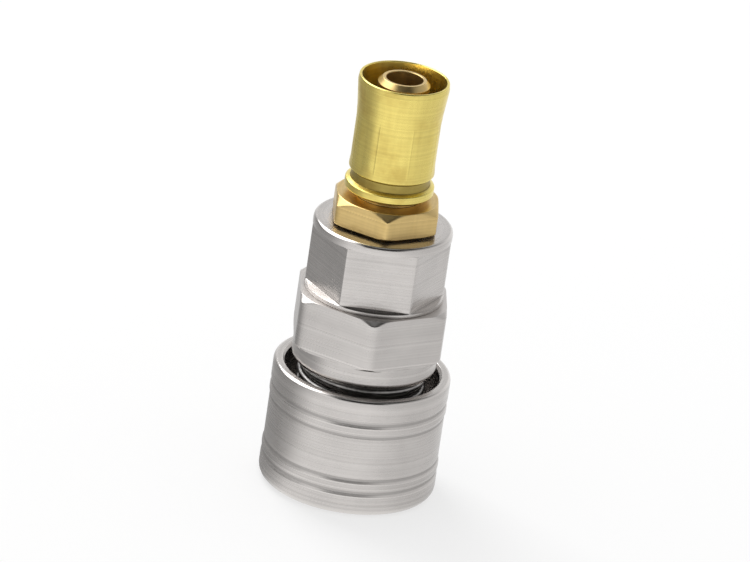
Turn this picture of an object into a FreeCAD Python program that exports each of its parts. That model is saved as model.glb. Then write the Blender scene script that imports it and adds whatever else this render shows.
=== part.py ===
"""Quick disconnect coupler for an air line, with its crimped brass hose end.

The frame is in millimetres, with +Z up the axis and the origin at the middle of the mouth, so that the
coupler stands on its nose with the hose end on top. -Y is the side that faces the viewer. The driving
dimensions are the cells of the sheet, the values worked out from them are in DERIVED, and every sketch,
feature and primitive is bound to the cells by its expressions.
"""
import FreeCAD, Part
import math
import os
import re

import Sketcher

SIZES = {
    # the plug that the socket takes, and the turned nose around it
    "plug_radius": 6.0,
    "running_gap": 0.05,
    "nose_wall": 2.7,
    "mouth_chamfer": 0.8,
    "nose_chamfer": 0.4,
    "guide_length": 6.7,
    "relief_depth": 0.25,
    "relief_margin": 0.4,
    # locking balls and their tapered seats
    "ball_radius": 2.0,
    "ball_bite": 1.2,
    "ball_gap": 0.03,
    "seat_angle": 15.0,
    "ramp_slope": 0.33333,
    # plug seal
    "seal_section": 1.1,
    "seal_squeeze": 0.28,
    "seal_side_gap": 0.05,
    "seal_cover": 2.35,
    "seal_backing": 1.35,
    # valve seat and valve chamber
    "seat_web": 2.3,
    "throat_radius": 4.6,
    "seat_chamfer": 1.2,
    "chamber_radius": 8.2,
    # snap ring that stops the sleeve
    "ring_wire": 0.5,
    "ring_groove_depth": 0.6,
    "ring_lip": 1.05,
    "ring_side_gap": 0.05,
    "ring_opening": 15.0,
    # release sleeve
    "sleeve_radius": 14.0,
    "sleeve_front": 0.1,
    "sleeve_length": 19.9,
    "front_rounding": 2.3,
    "rear_rounding": 1.25,
    "sleeve_guide_gap": 0.1,
    "front_recess_radius": 9.9,
    "flange_thickness": 1.2,
    "sleeve_relief_radius": 10.3,
    "land_radius": 9.1,
    "land_lead": 0.32,
    "land_length": 1.82,
    "skirt_wall": 1.8,
    "skirt_flare": 0.45,
    "grip_groove_depth": 0.22,
    "grip_groove_width": 0.9,
    "grip_groove_pitch": 2.2,
    "front_groove_height": 4.2,
    "rear_groove_height": 13.7,
    "grip_band_depth": 0.15,
    # hexagon collar of the socket body
    "collar_gap": 0.6,
    "collar_height": 12.3,
    "collar_flats": 23.0,
    "collar_corner_radius": 13.0,
    "collar_turn": 4.0,
    "boss_clearance": 0.75,
    "boss_height": 3.8,
    "boss_rounding": 1.2,
    "collar_chamfer": 0.5,
    "collar_top_chamfer": 0.7,
    # screwed joint between the socket body and the inlet adapter, at its pitch radius
    "body_thread_radius": 8.7,
    "fitted_gap": 0.03,
    "spigot_length": 7.9,
    "spigot_end_gap": 0.1,
    "spigot_wall": 1.67,
    "spigot_chamfer": 0.5,
    "gasket_section": 0.75,
    "gasket_gap": 0.03,
    # inlet adapter
    "adapter_flats": 19.0,
    "adapter_rim_radius": 10.95,
    "adapter_foot_height": 0.7,
    "adapter_rim_height": 1.5,
    "adapter_rim_rounding": 1.3,
    "adapter_height": 11.8,
    "adapter_turn": 3.5,
    "ledge_rise": 1.05,
    "passage_radius": 5.9,
    "inlet_thread_radius": 6.15,
    "inlet_thread_length": 9.0,
    "inlet_chamfer": 0.6,
    # valve poppet with its rubber ring, spring and guide
    "valve_seal_section": 0.9,
    "poppet_neck_radius": 3.9,
    "poppet_head_thickness": 1.4,
    "poppet_head_radius": 6.0,
    "poppet_boss_radius": 2.6,
    "poppet_boss_height": 1.0,
    "poppet_stem_radius": 1.5,
    "poppet_stem_reach": 0.7,
    "poppet_nose_length": 3.7,
    "fin_thickness": 1.6,
    "guide_plate_thickness": 1.7,
    "guide_hub_radius": 2.9,
    "guide_hub_height": 1.6,
    "guide_hub_taper": 0.2,
    "guide_web": 0.87,
    # springs
    "sleeve_spring_wire": 0.55,
    "sleeve_spring_turns": 4.0,
    "valve_spring_wire": 0.35,
    "valve_spring_turns": 4.5,
    "sleeve_spring_gap": 0.4,
    "valve_spring_gap": 0.16,
    # brass hose end
    "tape_thickness": 0.2,
    "tape_gap": 0.01,
    "tape_start": 1.2,
    "stem_foot_gap": 0.1,
    "stem_bore_radius": 2.9,
    "stem_foot_chamfer": 0.6,
    "thread_showing": 0.4,
    "thread_undercut": 0.8,
    "stem_flats": 16.0,
    "stem_corner_radius": 9.15,
    "stem_hex_height": 4.1,
    "stem_hex_low_chamfer": 0.2,
    "stem_hex_high_chamfer": 1.1,
    "stem_turn": 4.0,
    "stem_neck_radius": 5.2,
    "stem_neck_height": 0.9,
    "lock_groove_radius": 4.3,
    "lock_groove_width": 1.5,
    "stem_shoulder_radius": 4.9,
    "stem_shoulder_height": 0.8,
    "tail_radius": 4.1,
    "tail_root_radius": 3.7,
    "tail_land": 0.8,
    "tail_slope": 2.0,
    "tail_tip_radius": 3.4,
    "tail_tip_length": 0.8,
    # crimped ferrule
    "ferrule_length": 18.8,
    "ferrule_ring_radius": 7.0,
    "ferrule_ring_height": 1.8,
    "ferrule_edge": 0.35,
    "ferrule_mouth_edge": 0.12,
    "ferrule_groove_radius": 6.2,
    "ferrule_groove_height": 1.4,
    "ferrule_radius": 6.7,
    "ferrule_wall": 0.64,
    "ferrule_floor": 1.4,
    "ferrule_grip_gap": 0.05,
    "ferrule_straight": 10.3,
    "ferrule_flare": 0.45,
    "ferrule_rim": 1.0,
    "crimp_flats": 13.2,
    "crimp_length": 9.25,
}

DERIVED = {
    "bore_radius": "plug_radius + running_gap",
    "nose_radius": "bore_radius + nose_wall",
    "guide_end": "mouth_chamfer + guide_length",
    "ball_height": "guide_end + relief_margin + ball_radius",
    "relief_end": "ball_height + ball_radius + relief_margin",
    "ball_circle": "bore_radius - ball_bite + ball_radius",
    "seal_low": "relief_end + seal_cover",
    "seal_high": "seal_low + 2 * (seal_section + seal_side_gap)",
    "seal_circle": "plug_radius - seal_squeeze + seal_section",
    "seal_groove_radius": "seal_circle + seal_section + fitted_gap",
    "plug_stop": "seal_high + seal_backing",
    "seat_top": "plug_stop + seat_web",
    "ring_height": "ring_lip + ring_side_gap + ring_wire",
    "ring_groove_radius": "nose_radius - ring_groove_depth",
    "ring_circle": "ring_groove_radius + ring_wire + fitted_gap",
    "flange_low": "ring_height + ring_wire + ring_side_gap",
    "flange_high": "flange_low + flange_thickness",
    "land_low": "ball_height - land_lead",
    "ledge_low": "land_low + land_length",
    "sleeve_top": "sleeve_front + sleeve_length",
    "sleeve_guide_radius": "nose_radius + sleeve_guide_gap",
    "skirt_radius": "sleeve_radius - skirt_wall",
    "boss_radius": "skirt_radius - boss_clearance",
    "collar_base": "sleeve_top + collar_gap",
    "boss_top": "collar_base + boss_height",
    "collar_top": "collar_base + collar_height",
    "chamber_top": "collar_top - spigot_length",
    "gasket_pocket_radius": "spigot_radius + 2 * (gasket_section + gasket_gap)",
    "gasket_pocket_depth": "2 * (gasket_section + gasket_gap)",
    "spigot_radius": "body_thread_radius - fitted_gap",
    "spigot_bore": "spigot_radius - spigot_wall",
    "adapter_top": "collar_top + adapter_height",
    "adapter_rim_low": "adapter_top - adapter_rim_height",
    "guide_ledge": "collar_top + ledge_rise",
    "guide_low": "guide_ledge - guide_plate_thickness",
    "guide_radius": "spigot_bore - running_gap",
    "guide_hole_circle": "(guide_hub_radius + guide_radius) / 2",
    "guide_hole_radius": "(guide_radius - guide_hub_radius) / 2 - guide_web",
    "inlet_bottom": "adapter_top - inlet_thread_length",
    "valve_seal_circle": "poppet_neck_radius + valve_seal_section",
    "valve_seal_height": "seat_top - seat_chamfer + valve_seal_circle - throat_radius"
    " + (valve_seal_section + fitted_gap) * sqrt(2)",
    "head_low": "valve_seal_height + valve_seal_section + fitted_gap",
    "head_high": "head_low + poppet_head_thickness",
    "fin_top": "valve_seal_height - valve_seal_section - fitted_gap",
    "nose_low": "fin_top - poppet_nose_length",
    "fin_radius": "throat_radius - 2 * running_gap",
    "stem_foot": "inlet_bottom + stem_foot_gap",
    "male_radius": "inlet_thread_radius - tape_thickness - 2 * tape_gap",
    "stem_hex_low": "adapter_top + thread_showing",
    "stem_hex_high": "stem_hex_low + stem_hex_height",
    "ferrule_low": "stem_hex_high + stem_neck_height",
    "ferrule_high": "ferrule_low + ferrule_length",
    "lock_high": "ferrule_low + lock_groove_width",
    "tail_low": "lock_high + stem_shoulder_height",
    "tail_step": "tail_land + tail_slope",
    "ferrule_bore": "ferrule_radius - ferrule_wall",
}

BALLS = 6
WIRE_SIDES = 8
RING_SIDES = 12
GUIDE_HOLES = 6
POPPET_FINS = 4
HEX_SIDES = 6
CRIMP_JAWS = 8
TAIL_SERRATIONS = 6
CUT_MARGIN = 3.0

document = FreeCAD.newDocument("coupler")
sheet = document.addObject("Spreadsheet::Sheet", "sizes")
for row, (alias, number) in enumerate(SIZES.items(), start=1):
    sheet.set(f"A{row}", alias)
    sheet.set(f"B{row}", str(number))
    sheet.setAlias(f"B{row}", alias)
document.recompute()


def bound(text):
    """Write an expression on the sheet's cells for one that uses the names of SIZES and DERIVED."""

    def cell(match):
        word = match.group(0)
        if word in DERIVED:
            return f"({bound(DERIVED[word])})"
        return f"sizes.{word}" if word in SIZES else word

    return re.sub(r"[a-z][a-z_]*", cell, text)


def value(text):
    """The number that an expression on the sizes gives now."""
    return float(sheet.evalExpression(bound(text)))


def bind(item, **properties):
    """Bind properties of an object to expressions; a double underscore stands for a dot."""
    for name, text in properties.items():
        item.setExpression(name.replace("__", "."), bound(text))


def new_body(label):
    body = document.addObject("PartDesign::Body", label)
    body.Label = label
    return body


def add_sketch(body, name, role="XZ_Plane", rise="0"):
    """A sketch on one of the body's own origin planes, lifted by rise along Z."""
    sketch = body.newObject("Sketcher::SketchObject", name)
    plane = next(item for item in body.Origin.OriginFeatures if item.Role == role)
    sketch.AttachmentSupport = [(plane, "")]
    sketch.MapMode = "FlatFace"
    along = "y" if role == "XZ_Plane" else "z"
    sketch.setExpression(f"AttachmentOffset.Base.{along}", bound(rise))
    return sketch


def place_point(sketch, geometry, point, x_text, y_text):
    """Hold one point of a sketch at a place given by two expressions."""
    for kind, text in (("DistanceX", x_text), ("DistanceY", y_text)):
        rule = Sketcher.Constraint(kind, -1, 1, geometry, point, value(text))
        number = sketch.addConstraint(rule)
        sketch.setExpression(f"Constraints[{number}]", bound(text))


def draw_outline(sketch, corners):
    """A closed outline of straight lines through the corners, each a pair of expressions."""
    spots = [FreeCAD.Vector(value(x_text), value(y_text), 0) for x_text, y_text in corners]
    first = sketch.GeometryCount
    count = len(corners)
    for index, spot in enumerate(spots):
        sketch.addGeometry(Part.LineSegment(spot, spots[(index + 1) % count]), False)
    for index in range(count):
        following = first + (index + 1) % count
        sketch.addConstraint(Sketcher.Constraint("Coincident", first + index, 2, following, 1))
    for index, (x_text, y_text) in enumerate(corners):
        place_point(sketch, first + index, 1, x_text, y_text)


def draw_circle(sketch, radius, x_text="0", y_text="0"):
    middle = FreeCAD.Vector(value(x_text), value(y_text), 0)
    circle = Part.Circle(middle, FreeCAD.Vector(0, 0, 1), value(radius))
    geometry = sketch.addGeometry(circle, False)
    place_point(sketch, geometry, 3, x_text, y_text)
    number = sketch.addConstraint(Sketcher.Constraint("Radius", geometry, value(radius)))
    sketch.setExpression(f"Constraints[{number}]", bound(radius))


def rectangle(low_x, low_y, high_x, high_y):
    return [(low_x, low_y), (high_x, low_y), (high_x, high_y), (low_x, high_y)]


def polygon(reach, turn, sides, middle=("0", "0")):
    """Corners of a regular polygon at a reach from its middle, one corner at turn from the viewer."""
    corners = []
    for side in range(sides):
        angle = f"({turn} + {360 * side / sides - 90})"
        along, across = f"{reach} * cos({angle})", f"{reach} * sin({angle})"
        corners.append((f"{middle[0]} + {along}", f"{middle[1]} + {across}"))
    return corners


def finish_feature(feature, changes=-1):
    """Recompute a feature and make sure that it added (+1) or took away (-1) material."""
    body = feature.getParentGeoFeatureGroup()
    document.recompute()
    before = feature.BaseFeature.Shape.Volume if feature.BaseFeature else 0.0
    if (feature.Shape.Volume - before) * changes <= 0:
        raise RuntimeError(f"{body.Label}: {feature.Name} changes nothing")
    return feature


def turn_profile(body, name, corners, kind="PartDesign::Revolution"):
    """Turn, or cut, a round shape about the Z axis from an outline in radius and height."""
    sketch = add_sketch(body, f"{name}_sketch")
    draw_outline(sketch, corners)
    return turn_sketch(body, name, sketch, kind)


def turn_sketch(body, name, sketch, kind="PartDesign::Revolution", axis="V_Axis", angle="360"):
    feature = body.newObject(kind, name)
    feature.Profile = sketch
    feature.ReferenceAxis = (sketch, [axis])
    bind(feature, Angle=angle)
    return finish_feature(feature, -1 if kind.endswith("Groove") else 1)


def pocket_down(body, name, sketch, depth):
    """Cut a sketch's area downwards from its plane."""
    pocket = body.newObject("PartDesign::Pocket", name)
    pocket.Profile = sketch
    bind(pocket, Length=depth)
    return finish_feature(pocket)


def cut_flats(body, name, flats, turn, sides, top, depth, blank_radius):
    """Mill the flats of a regular polygon on a round blank."""
    sketch = add_sketch(body, f"{name}_sketch", "XY_Plane", top)
    draw_outline(sketch, polygon(f"{flats} / 2 / cos({180 / sides})", turn, sides))
    draw_circle(sketch, f"{blank_radius} + {CUT_MARGIN}")
    return pocket_down(body, name, sketch, depth)


def repeat_around(body, feature, copies):
    """Repeat a feature at even steps round the Z axis."""
    pattern = body.newObject("PartDesign::PolarPattern", f"{feature.Name}_ring")
    pattern.Originals = [feature]
    z_axis = next(item for item in body.Origin.OriginFeatures if item.Role == "Z_Axis")
    pattern.Axis = (z_axis, [""])
    pattern.Angle = 360
    pattern.Occurrences = copies
    body.Tip = pattern
    feature.Visibility = False
    return finish_feature(pattern)


def round_edges(body, name, radius, places):
    """Round the circular edges that lie at the given pairs of radius and height."""
    base = body.Tip
    names = []
    for edge_radius, height in places:
        wanted = (value(edge_radius), value(height))
        for number, edge in enumerate(base.Shape.Edges, start=1):
            if not isinstance(edge.Curve, Part.Circle):
                continue
            found = (edge.Curve.Radius, edge.Curve.Center.z)
            if math.dist(found, wanted) < 1e-4:
                names.append(f"Edge{number}")
    if len(names) < len(places):
        raise RuntimeError(f"{body.Label}: an edge of {name} wasn't found")
    fillet = body.newObject("PartDesign::Fillet", name)
    fillet.Base = (base, names)
    bind(fillet, Radius=radius)
    document.recompute()
    return fillet


def turned_ring(label, circle, section, height, angle="360"):
    """A ring of wire or rubber cord about the Z axis, its section a polygon of many sides."""
    body = new_body(label)
    sketch = add_sketch(body, f"{label}_section")
    draw_outline(sketch, polygon(section, f"{180 / RING_SIDES}", RING_SIDES, (circle, height)))
    turn_sketch(body, f"{label}_turned", sketch, angle=angle)
    return body


def wound_spring(label, wire, circle, low, high, turns):
    """A compression spring between two heights, with both ends ground flat and a wire of many sides."""
    body = new_body(label)
    sketch = add_sketch(body, f"{label}_wire")
    draw_outline(sketch, polygon(wire, f"{180 / WIRE_SIDES}", WIRE_SIDES, (circle, low)))
    coil = body.newObject("PartDesign::AdditiveHelix", f"{label}_coil")
    coil.Profile = sketch
    coil.ReferenceAxis = (sketch, ["V_Axis"])
    coil.Mode = "height-turns-angle"
    bind(coil, Height=f"{high} - ({low})", Turns=turns)
    finish_feature(coil, 1)
    for end, near, far in (("low", low, f"{low} - {CUT_MARGIN}"), ("high", high, f"{high} + {CUT_MARGIN}")):
        edge = f"{circle} + {wire} + {CUT_MARGIN}"
        corners = rectangle("0", min(near, far, key=value), edge, max(near, far, key=value))
        turn_profile(body, f"{label}_ground_{end}", corners, "PartDesign::Groove")
    return body


def make_socket_body():
    """Nose with the plug bore, ball seats and seal groove, and the hexagon collar around the valve."""
    body = new_body("socket_body")
    top_edge = "collar_flats / 2 + collar_top_chamfer"
    corners = [
        ("bore_radius + mouth_chamfer", "0"),
        ("nose_radius - nose_chamfer", "0"),
        ("nose_radius", "nose_chamfer"),
        ("nose_radius", "ring_lip"),
        ("ring_groove_radius", "ring_lip"),
        ("ring_groove_radius", "ring_height + ring_wire + ring_side_gap"),
        ("nose_radius", "ring_height + ring_wire + ring_side_gap"),
        ("nose_radius", "collar_base"),
        ("boss_radius", "collar_base"),
        ("boss_radius", "boss_top"),
        ("collar_corner_radius - collar_chamfer", "boss_top"),
        ("collar_corner_radius", "boss_top + collar_chamfer"),
        ("collar_corner_radius", "collar_top - collar_top_chamfer"),
        (top_edge, "collar_top"),
        ("gasket_pocket_radius", "collar_top"),
        ("gasket_pocket_radius", "collar_top - gasket_pocket_depth"),
        ("body_thread_radius", "collar_top - gasket_pocket_depth"),
        ("body_thread_radius", "chamber_top"),
        ("chamber_radius", "chamber_top"),
        ("chamber_radius", "seat_top"),
        ("throat_radius + seat_chamfer", "seat_top"),
        ("throat_radius", "seat_top - seat_chamfer"),
        ("throat_radius", "plug_stop"),
        ("bore_radius", "plug_stop"),
        ("bore_radius", "seal_high"),
        ("seal_groove_radius", "seal_high"),
        ("seal_groove_radius", "seal_low"),
        ("bore_radius", "seal_low"),
        ("bore_radius", "relief_end"),
        ("bore_radius + relief_depth", "relief_end"),
        ("bore_radius + relief_depth", "guide_end"),
        ("bore_radius", "guide_end"),
        ("bore_radius", "mouth_chamfer"),
    ]
    turn_profile(body, "socket_turned", corners)
    round_edges(body, "boss_round", "boss_rounding", [("boss_radius", "collar_base")])
    cut_flats(
        body, "collar_hexagon", "collar_flats", "collar_turn", HEX_SIDES,
        "collar_top", "collar_height - boss_height / 2", "collar_corner_radius",
    )
    seats = add_sketch(body, "ball_seat_sketch", rise="ball_height")
    reach = "(ball_radius + ball_gap) / cos(seat_angle)"
    inner, outer = "ball_circle - ball_radius", "nose_radius + ball_radius"
    draw_outline(seats, [
        (inner, "0"),
        (outer, "0"),
        (outer, f"{reach} + ({outer} - ball_circle) * tan(seat_angle)"),
        (inner, f"{reach} - ball_radius * tan(seat_angle)"),
    ])
    seat = turn_sketch(body, "ball_seat", seats, "PartDesign::Groove", "H_Axis")
    repeat_around(body, seat, BALLS)
    return body


def make_inlet_adapter():
    """Adapter with a hexagon between its foot and its rim, screwed into the collar."""
    body = new_body("inlet_adapter")
    corners = [
        ("spigot_bore", "chamber_top + spigot_end_gap"),
        ("spigot_radius - spigot_chamfer", "chamber_top + spigot_end_gap"),
        ("spigot_radius", "chamber_top + spigot_end_gap + spigot_chamfer"),
        ("spigot_radius", "collar_top"),
        ("adapter_rim_radius", "collar_top"),
        ("adapter_rim_radius", "adapter_top"),
        ("inlet_thread_radius + inlet_chamfer", "adapter_top"),
        ("inlet_thread_radius", "adapter_top - inlet_chamfer"),
        ("inlet_thread_radius", "inlet_bottom"),
        ("passage_radius", "inlet_bottom"),
        ("passage_radius", "guide_ledge"),
        ("spigot_bore", "guide_ledge"),
    ]
    turn_profile(body, "adapter_turned", corners)
    round_edges(body, "rim_round", "adapter_rim_rounding", [("adapter_rim_radius", "adapter_top")])
    cut_flats(
        body, "adapter_hexagon", "adapter_flats", "adapter_turn + 30", HEX_SIDES,
        "adapter_rim_low", "adapter_height - adapter_rim_height - adapter_foot_height", "adapter_rim_radius",
    )
    return body


def make_release_sleeve():
    """Knock-back sleeve: snap-ring recess, guide flange, ball ramp, locking land and spring skirt."""
    body = new_body("release_sleeve")
    ramp_low = "land_low - (sleeve_relief_radius - land_radius) / ramp_slope"
    corners = [
        ("front_recess_radius", "sleeve_front"),
        ("sleeve_radius", "sleeve_front"),
        ("sleeve_radius", "sleeve_top"),
        ("skirt_radius + skirt_flare", "sleeve_top"),
        ("skirt_radius", "sleeve_top - skirt_flare"),
        ("skirt_radius", "ledge_low"),
        ("land_radius", "ledge_low"),
        ("land_radius", "land_low"),
        ("sleeve_relief_radius", ramp_low),
        ("sleeve_relief_radius", "flange_high"),
        ("sleeve_guide_radius", "flange_high"),
        ("sleeve_guide_radius", "flange_low"),
        ("front_recess_radius", "flange_low"),
    ]
    turn_profile(body, "sleeve_turned", corners)
    round_edges(body, "front_round", "front_rounding", [("sleeve_radius", "sleeve_front")])
    round_edges(body, "rear_round", "rear_rounding", [("sleeve_radius", "sleeve_top")])
    grooves = add_sketch(body, "grip_groove_sketch")
    floor = "sleeve_radius - grip_groove_depth"
    rim = f"sleeve_radius + {CUT_MARGIN}"
    lowest = ["front_groove_height", "rear_groove_height"]
    middles = [f"{low} + {step} * grip_groove_pitch" for low in lowest for step in range(2)]
    for middle in middles:
        draw_outline(grooves, [
            (floor, f"{middle} - grip_groove_width / 4"),
            ("sleeve_radius", f"{middle} - grip_groove_width / 2"),
            (rim, f"{middle} - grip_groove_width / 2"),
            (rim, f"{middle} + grip_groove_width / 2"),
            ("sleeve_radius", f"{middle} + grip_groove_width / 2"),
            (floor, f"{middle} + grip_groove_width / 4"),
        ])
    turn_sketch(body, "grip_grooves", grooves, "PartDesign::Groove")
    band = rectangle(
        "sleeve_radius - grip_band_depth", f"{middles[1]} + grip_groove_width / 2",
        rim, f"{middles[2]} - grip_groove_width / 2",
    )
    turn_profile(body, "grip_band", band, "PartDesign::Groove")
    return body


def make_lock_balls():
    """The locking balls at rest, standing into the bore."""
    balls = []
    for index in range(BALLS):
        ball = document.addObject("Part::Sphere", f"lock_ball_{index + 1}")
        angle = 360 * index / BALLS
        bind(
            ball, Radius="ball_radius", Placement__Base__z="ball_height",
            Placement__Base__x=f"ball_circle * cos({angle})",
            Placement__Base__y=f"ball_circle * sin({angle})",
        )
        balls.append(ball)
    return balls


def make_valve_poppet():
    """Brass poppet: finned nose in the throat, neck for the rubber ring, head, spring boss and stem."""
    body = new_body("valve_poppet")
    corners = [
        ("0", "nose_low"),
        ("fin_radius", "nose_low"),
        ("fin_radius", "fin_top"),
        ("poppet_neck_radius", "fin_top"),
        ("poppet_neck_radius", "head_low"),
        ("poppet_head_radius", "head_low"),
        ("poppet_head_radius", "head_high"),
        ("poppet_boss_radius", "head_high"),
        ("poppet_boss_radius", "head_high + poppet_boss_height"),
        ("poppet_stem_radius", "head_high + poppet_boss_height"),
        ("poppet_stem_radius", "guide_ledge + poppet_stem_reach"),
        ("0", "guide_ledge + poppet_stem_reach"),
    ]
    turn_profile(body, "poppet_turned", corners)
    window = add_sketch(body, "window_sketch", "XY_Plane", "fin_top")
    near, far = "fin_thickness / 2", "fin_radius + fin_thickness"
    draw_outline(window, rectangle(near, near, far, far))
    cut = pocket_down(body, "fin_window", window, f"poppet_nose_length + {CUT_MARGIN}")
    repeat_around(body, cut, POPPET_FINS)
    return body


def make_valve_guide():
    """Drilled brass plate whose hub guides the poppet's stem and backs its spring."""
    body = new_body("valve_guide")
    stem_hole = "poppet_stem_radius + running_gap"
    corners = [
        (stem_hole, "guide_low"),
        ("guide_radius", "guide_low"),
        ("guide_radius", "guide_ledge - running_gap"),
        ("guide_hub_radius", "guide_ledge - running_gap"),
        ("guide_hub_radius - guide_hub_taper", "guide_ledge + guide_hub_height"),
        (stem_hole, "guide_ledge + guide_hub_height"),
    ]
    turn_profile(body, "guide_turned", corners)
    holes = add_sketch(body, "guide_hole_sketch", "XY_Plane", "guide_ledge")
    draw_circle(holes, "guide_hole_radius", "guide_hole_circle")
    hole = pocket_down(body, "guide_hole", holes, f"guide_plate_thickness + {CUT_MARGIN}")
    repeat_around(body, hole, GUIDE_HOLES)
    return body


def make_hose_stem():
    """Brass hose stem: threaded foot, hexagon, locking groove for the ferrule and serrated tail."""
    body = new_body("hose_stem")
    corners = [
        ("stem_bore_radius", "stem_foot"),
        ("male_radius - stem_foot_chamfer", "stem_foot"),
        ("male_radius", "stem_foot + stem_foot_chamfer"),
        ("male_radius", "stem_hex_low - thread_undercut"),
        ("male_radius - stem_foot_chamfer", "stem_hex_low - thread_undercut"),
        ("male_radius - stem_foot_chamfer", "stem_hex_low"),
        ("stem_corner_radius - 2 * stem_hex_low_chamfer", "stem_hex_low"),
        ("stem_corner_radius", "stem_hex_low + stem_hex_low_chamfer"),
        ("stem_corner_radius", "stem_hex_high - stem_hex_high_chamfer"),
        ("stem_flats / 2", "stem_hex_high"),
        ("stem_neck_radius", "stem_hex_high"),
        ("stem_neck_radius", "ferrule_low"),
        ("lock_groove_radius", "ferrule_low"),
        ("lock_groove_radius", "lock_high"),
        ("stem_shoulder_radius", "lock_high"),
        ("stem_shoulder_radius", "tail_low"),
        ("tail_root_radius", "tail_low"),
        ("tail_root_radius", "tail_low + tail_land"),
    ]
    for tooth in range(TAIL_SERRATIONS):
        land = f"tail_low + tail_land + {tooth} * tail_step"
        corners.append(("tail_radius", land))
        corners.append(("tail_radius", f"{land} + tail_land"))
        if tooth < TAIL_SERRATIONS - 1:
            corners.append(("tail_root_radius", f"{land} + tail_step"))
    tip = f"tail_low + {TAIL_SERRATIONS} * tail_step - tail_slope + tail_land + tail_tip_length"
    corners.append(("tail_tip_radius", tip))
    corners.append(("stem_bore_radius", tip))
    turn_profile(body, "stem_turned", corners)
    cut_flats(
        body, "stem_hexagon", "stem_flats", "stem_turn", HEX_SIDES,
        "stem_hex_high", "stem_hex_height", "stem_corner_radius",
    )
    return body


def make_hose_ferrule():
    """Crimped ferrule: locked ring, crimp groove, jaw flats and flared mouth."""
    body = new_body("hose_ferrule")
    grip_radius = "lock_groove_radius + ferrule_grip_gap"
    ring_high = "ferrule_low + ferrule_ring_height"
    groove_high = f"{ring_high} + ferrule_groove_height"
    straight_high = f"{groove_high} + ferrule_straight"
    low = "ferrule_low + ferrule_grip_gap"
    corners = [
        (grip_radius, low),
        ("ferrule_ring_radius - ferrule_edge", low),
        ("ferrule_ring_radius", f"{low} + ferrule_edge"),
        ("ferrule_ring_radius", f"{ring_high} - ferrule_edge"),
        ("ferrule_groove_radius", ring_high),
        ("ferrule_groove_radius", groove_high),
        ("ferrule_radius", f"{groove_high} + ferrule_edge"),
        ("ferrule_radius", straight_high),
        ("ferrule_radius + ferrule_flare", "ferrule_high - ferrule_rim"),
        ("ferrule_radius + ferrule_flare - ferrule_mouth_edge", "ferrule_high"),
        ("ferrule_bore + ferrule_flare + ferrule_mouth_edge", "ferrule_high"),
        ("ferrule_bore + ferrule_flare", "ferrule_high - ferrule_rim"),
        ("ferrule_bore", straight_high),
        ("ferrule_bore", f"{groove_high} + ferrule_edge"),
        ("ferrule_groove_radius - ferrule_wall", groove_high),
        ("ferrule_groove_radius - ferrule_wall", f"{low} + ferrule_floor"),
        (grip_radius, f"{low} + ferrule_floor"),
    ]
    turn_profile(body, "ferrule_turned", corners)
    cut_flats(
        body, "crimp_jaws", "crimp_flats", f"{180 / CRIMP_JAWS}", CRIMP_JAWS,
        f"{straight_high} - ferrule_edge", "crimp_length", "ferrule_radius",
    )
    return body


def make_thread_seal():
    """Sealing tape wound in the threads between the adapter and the hose stem."""
    body = new_body("thread_seal")
    inner, outer = "male_radius + tape_gap", "inlet_thread_radius - tape_gap"
    low, high = "stem_foot + tape_start", "adapter_top - inlet_chamfer"
    turn_profile(body, "tape_turned", rectangle(inner, low, outer, high))
    return body


def make_springs():
    sleeve_circle = "nose_radius + sleeve_spring_gap + sleeve_spring_wire"
    valve_circle = "poppet_boss_radius + valve_spring_gap + valve_spring_wire"
    return [
        wound_spring(
            "sleeve_spring", "sleeve_spring_wire", sleeve_circle, "ledge_low", "collar_base",
            "sleeve_spring_turns",
        ),
        wound_spring(
            "valve_spring", "valve_spring_wire", valve_circle, "head_high", "guide_low",
            "valve_spring_turns",
        ),
    ]


def make_rings():
    """The open snap ring behind the nose's lip, and the three rubber rings."""
    gasket_circle = "spigot_radius + gasket_gap + gasket_section"
    gasket_height = "collar_top - gasket_gap - gasket_section"
    return [
        turned_ring("retaining_ring", "ring_circle", "ring_wire", "ring_height", "360 - ring_opening"),
        turned_ring("plug_seal", "seal_circle", "seal_section", "(seal_low + seal_high) / 2"),
        turned_ring("valve_seal", "valve_seal_circle", "valve_seal_section", "valve_seal_height"),
        turned_ring("body_gasket", gasket_circle, "gasket_section", gasket_height),
    ]


def check_and_write(pieces):
    """Refuse a failed or empty object, then write one file for each piece."""
    for item in document.Objects:
        if {"Invalid", "Error"} & set(item.State):
            raise RuntimeError(f"{item.Label} failed: {item.State}")
    for piece in pieces:
        shape = piece.Shape
        if shape.isNull() or not shape.isValid() or len(shape.Solids) != 1:
            raise RuntimeError(f"{piece.Label} isn't one valid solid")
    os.makedirs("parts", exist_ok=True)
    for piece in pieces:
        piece.Shape.exportStep(f"parts/{piece.Label}.step")


def main():
    pieces = [
        make_socket_body(),
        make_inlet_adapter(),
        make_release_sleeve(),
        make_valve_poppet(),
        make_valve_guide(),
        make_hose_stem(),
        make_hose_ferrule(),
        make_thread_seal(),
    ]
    pieces += make_lock_balls() + make_springs() + make_rings()
    document.recompute()
    check_and_write(pieces)


main()
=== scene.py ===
"""Looks of the quick disconnect coupler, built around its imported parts.

An outline is a list of corners in millimetres in the part's own frame: radius from the axis, height above
the mouth, rounding of the corner and, where the run that follows needs close rows, their spacing.
Angles go round +Z from +X, in degrees, and a turn is measured from the viewer's side, -Y.
"""

import math

import bmesh
import bpy
import numpy as np
from mathutils import Matrix, Vector


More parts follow.
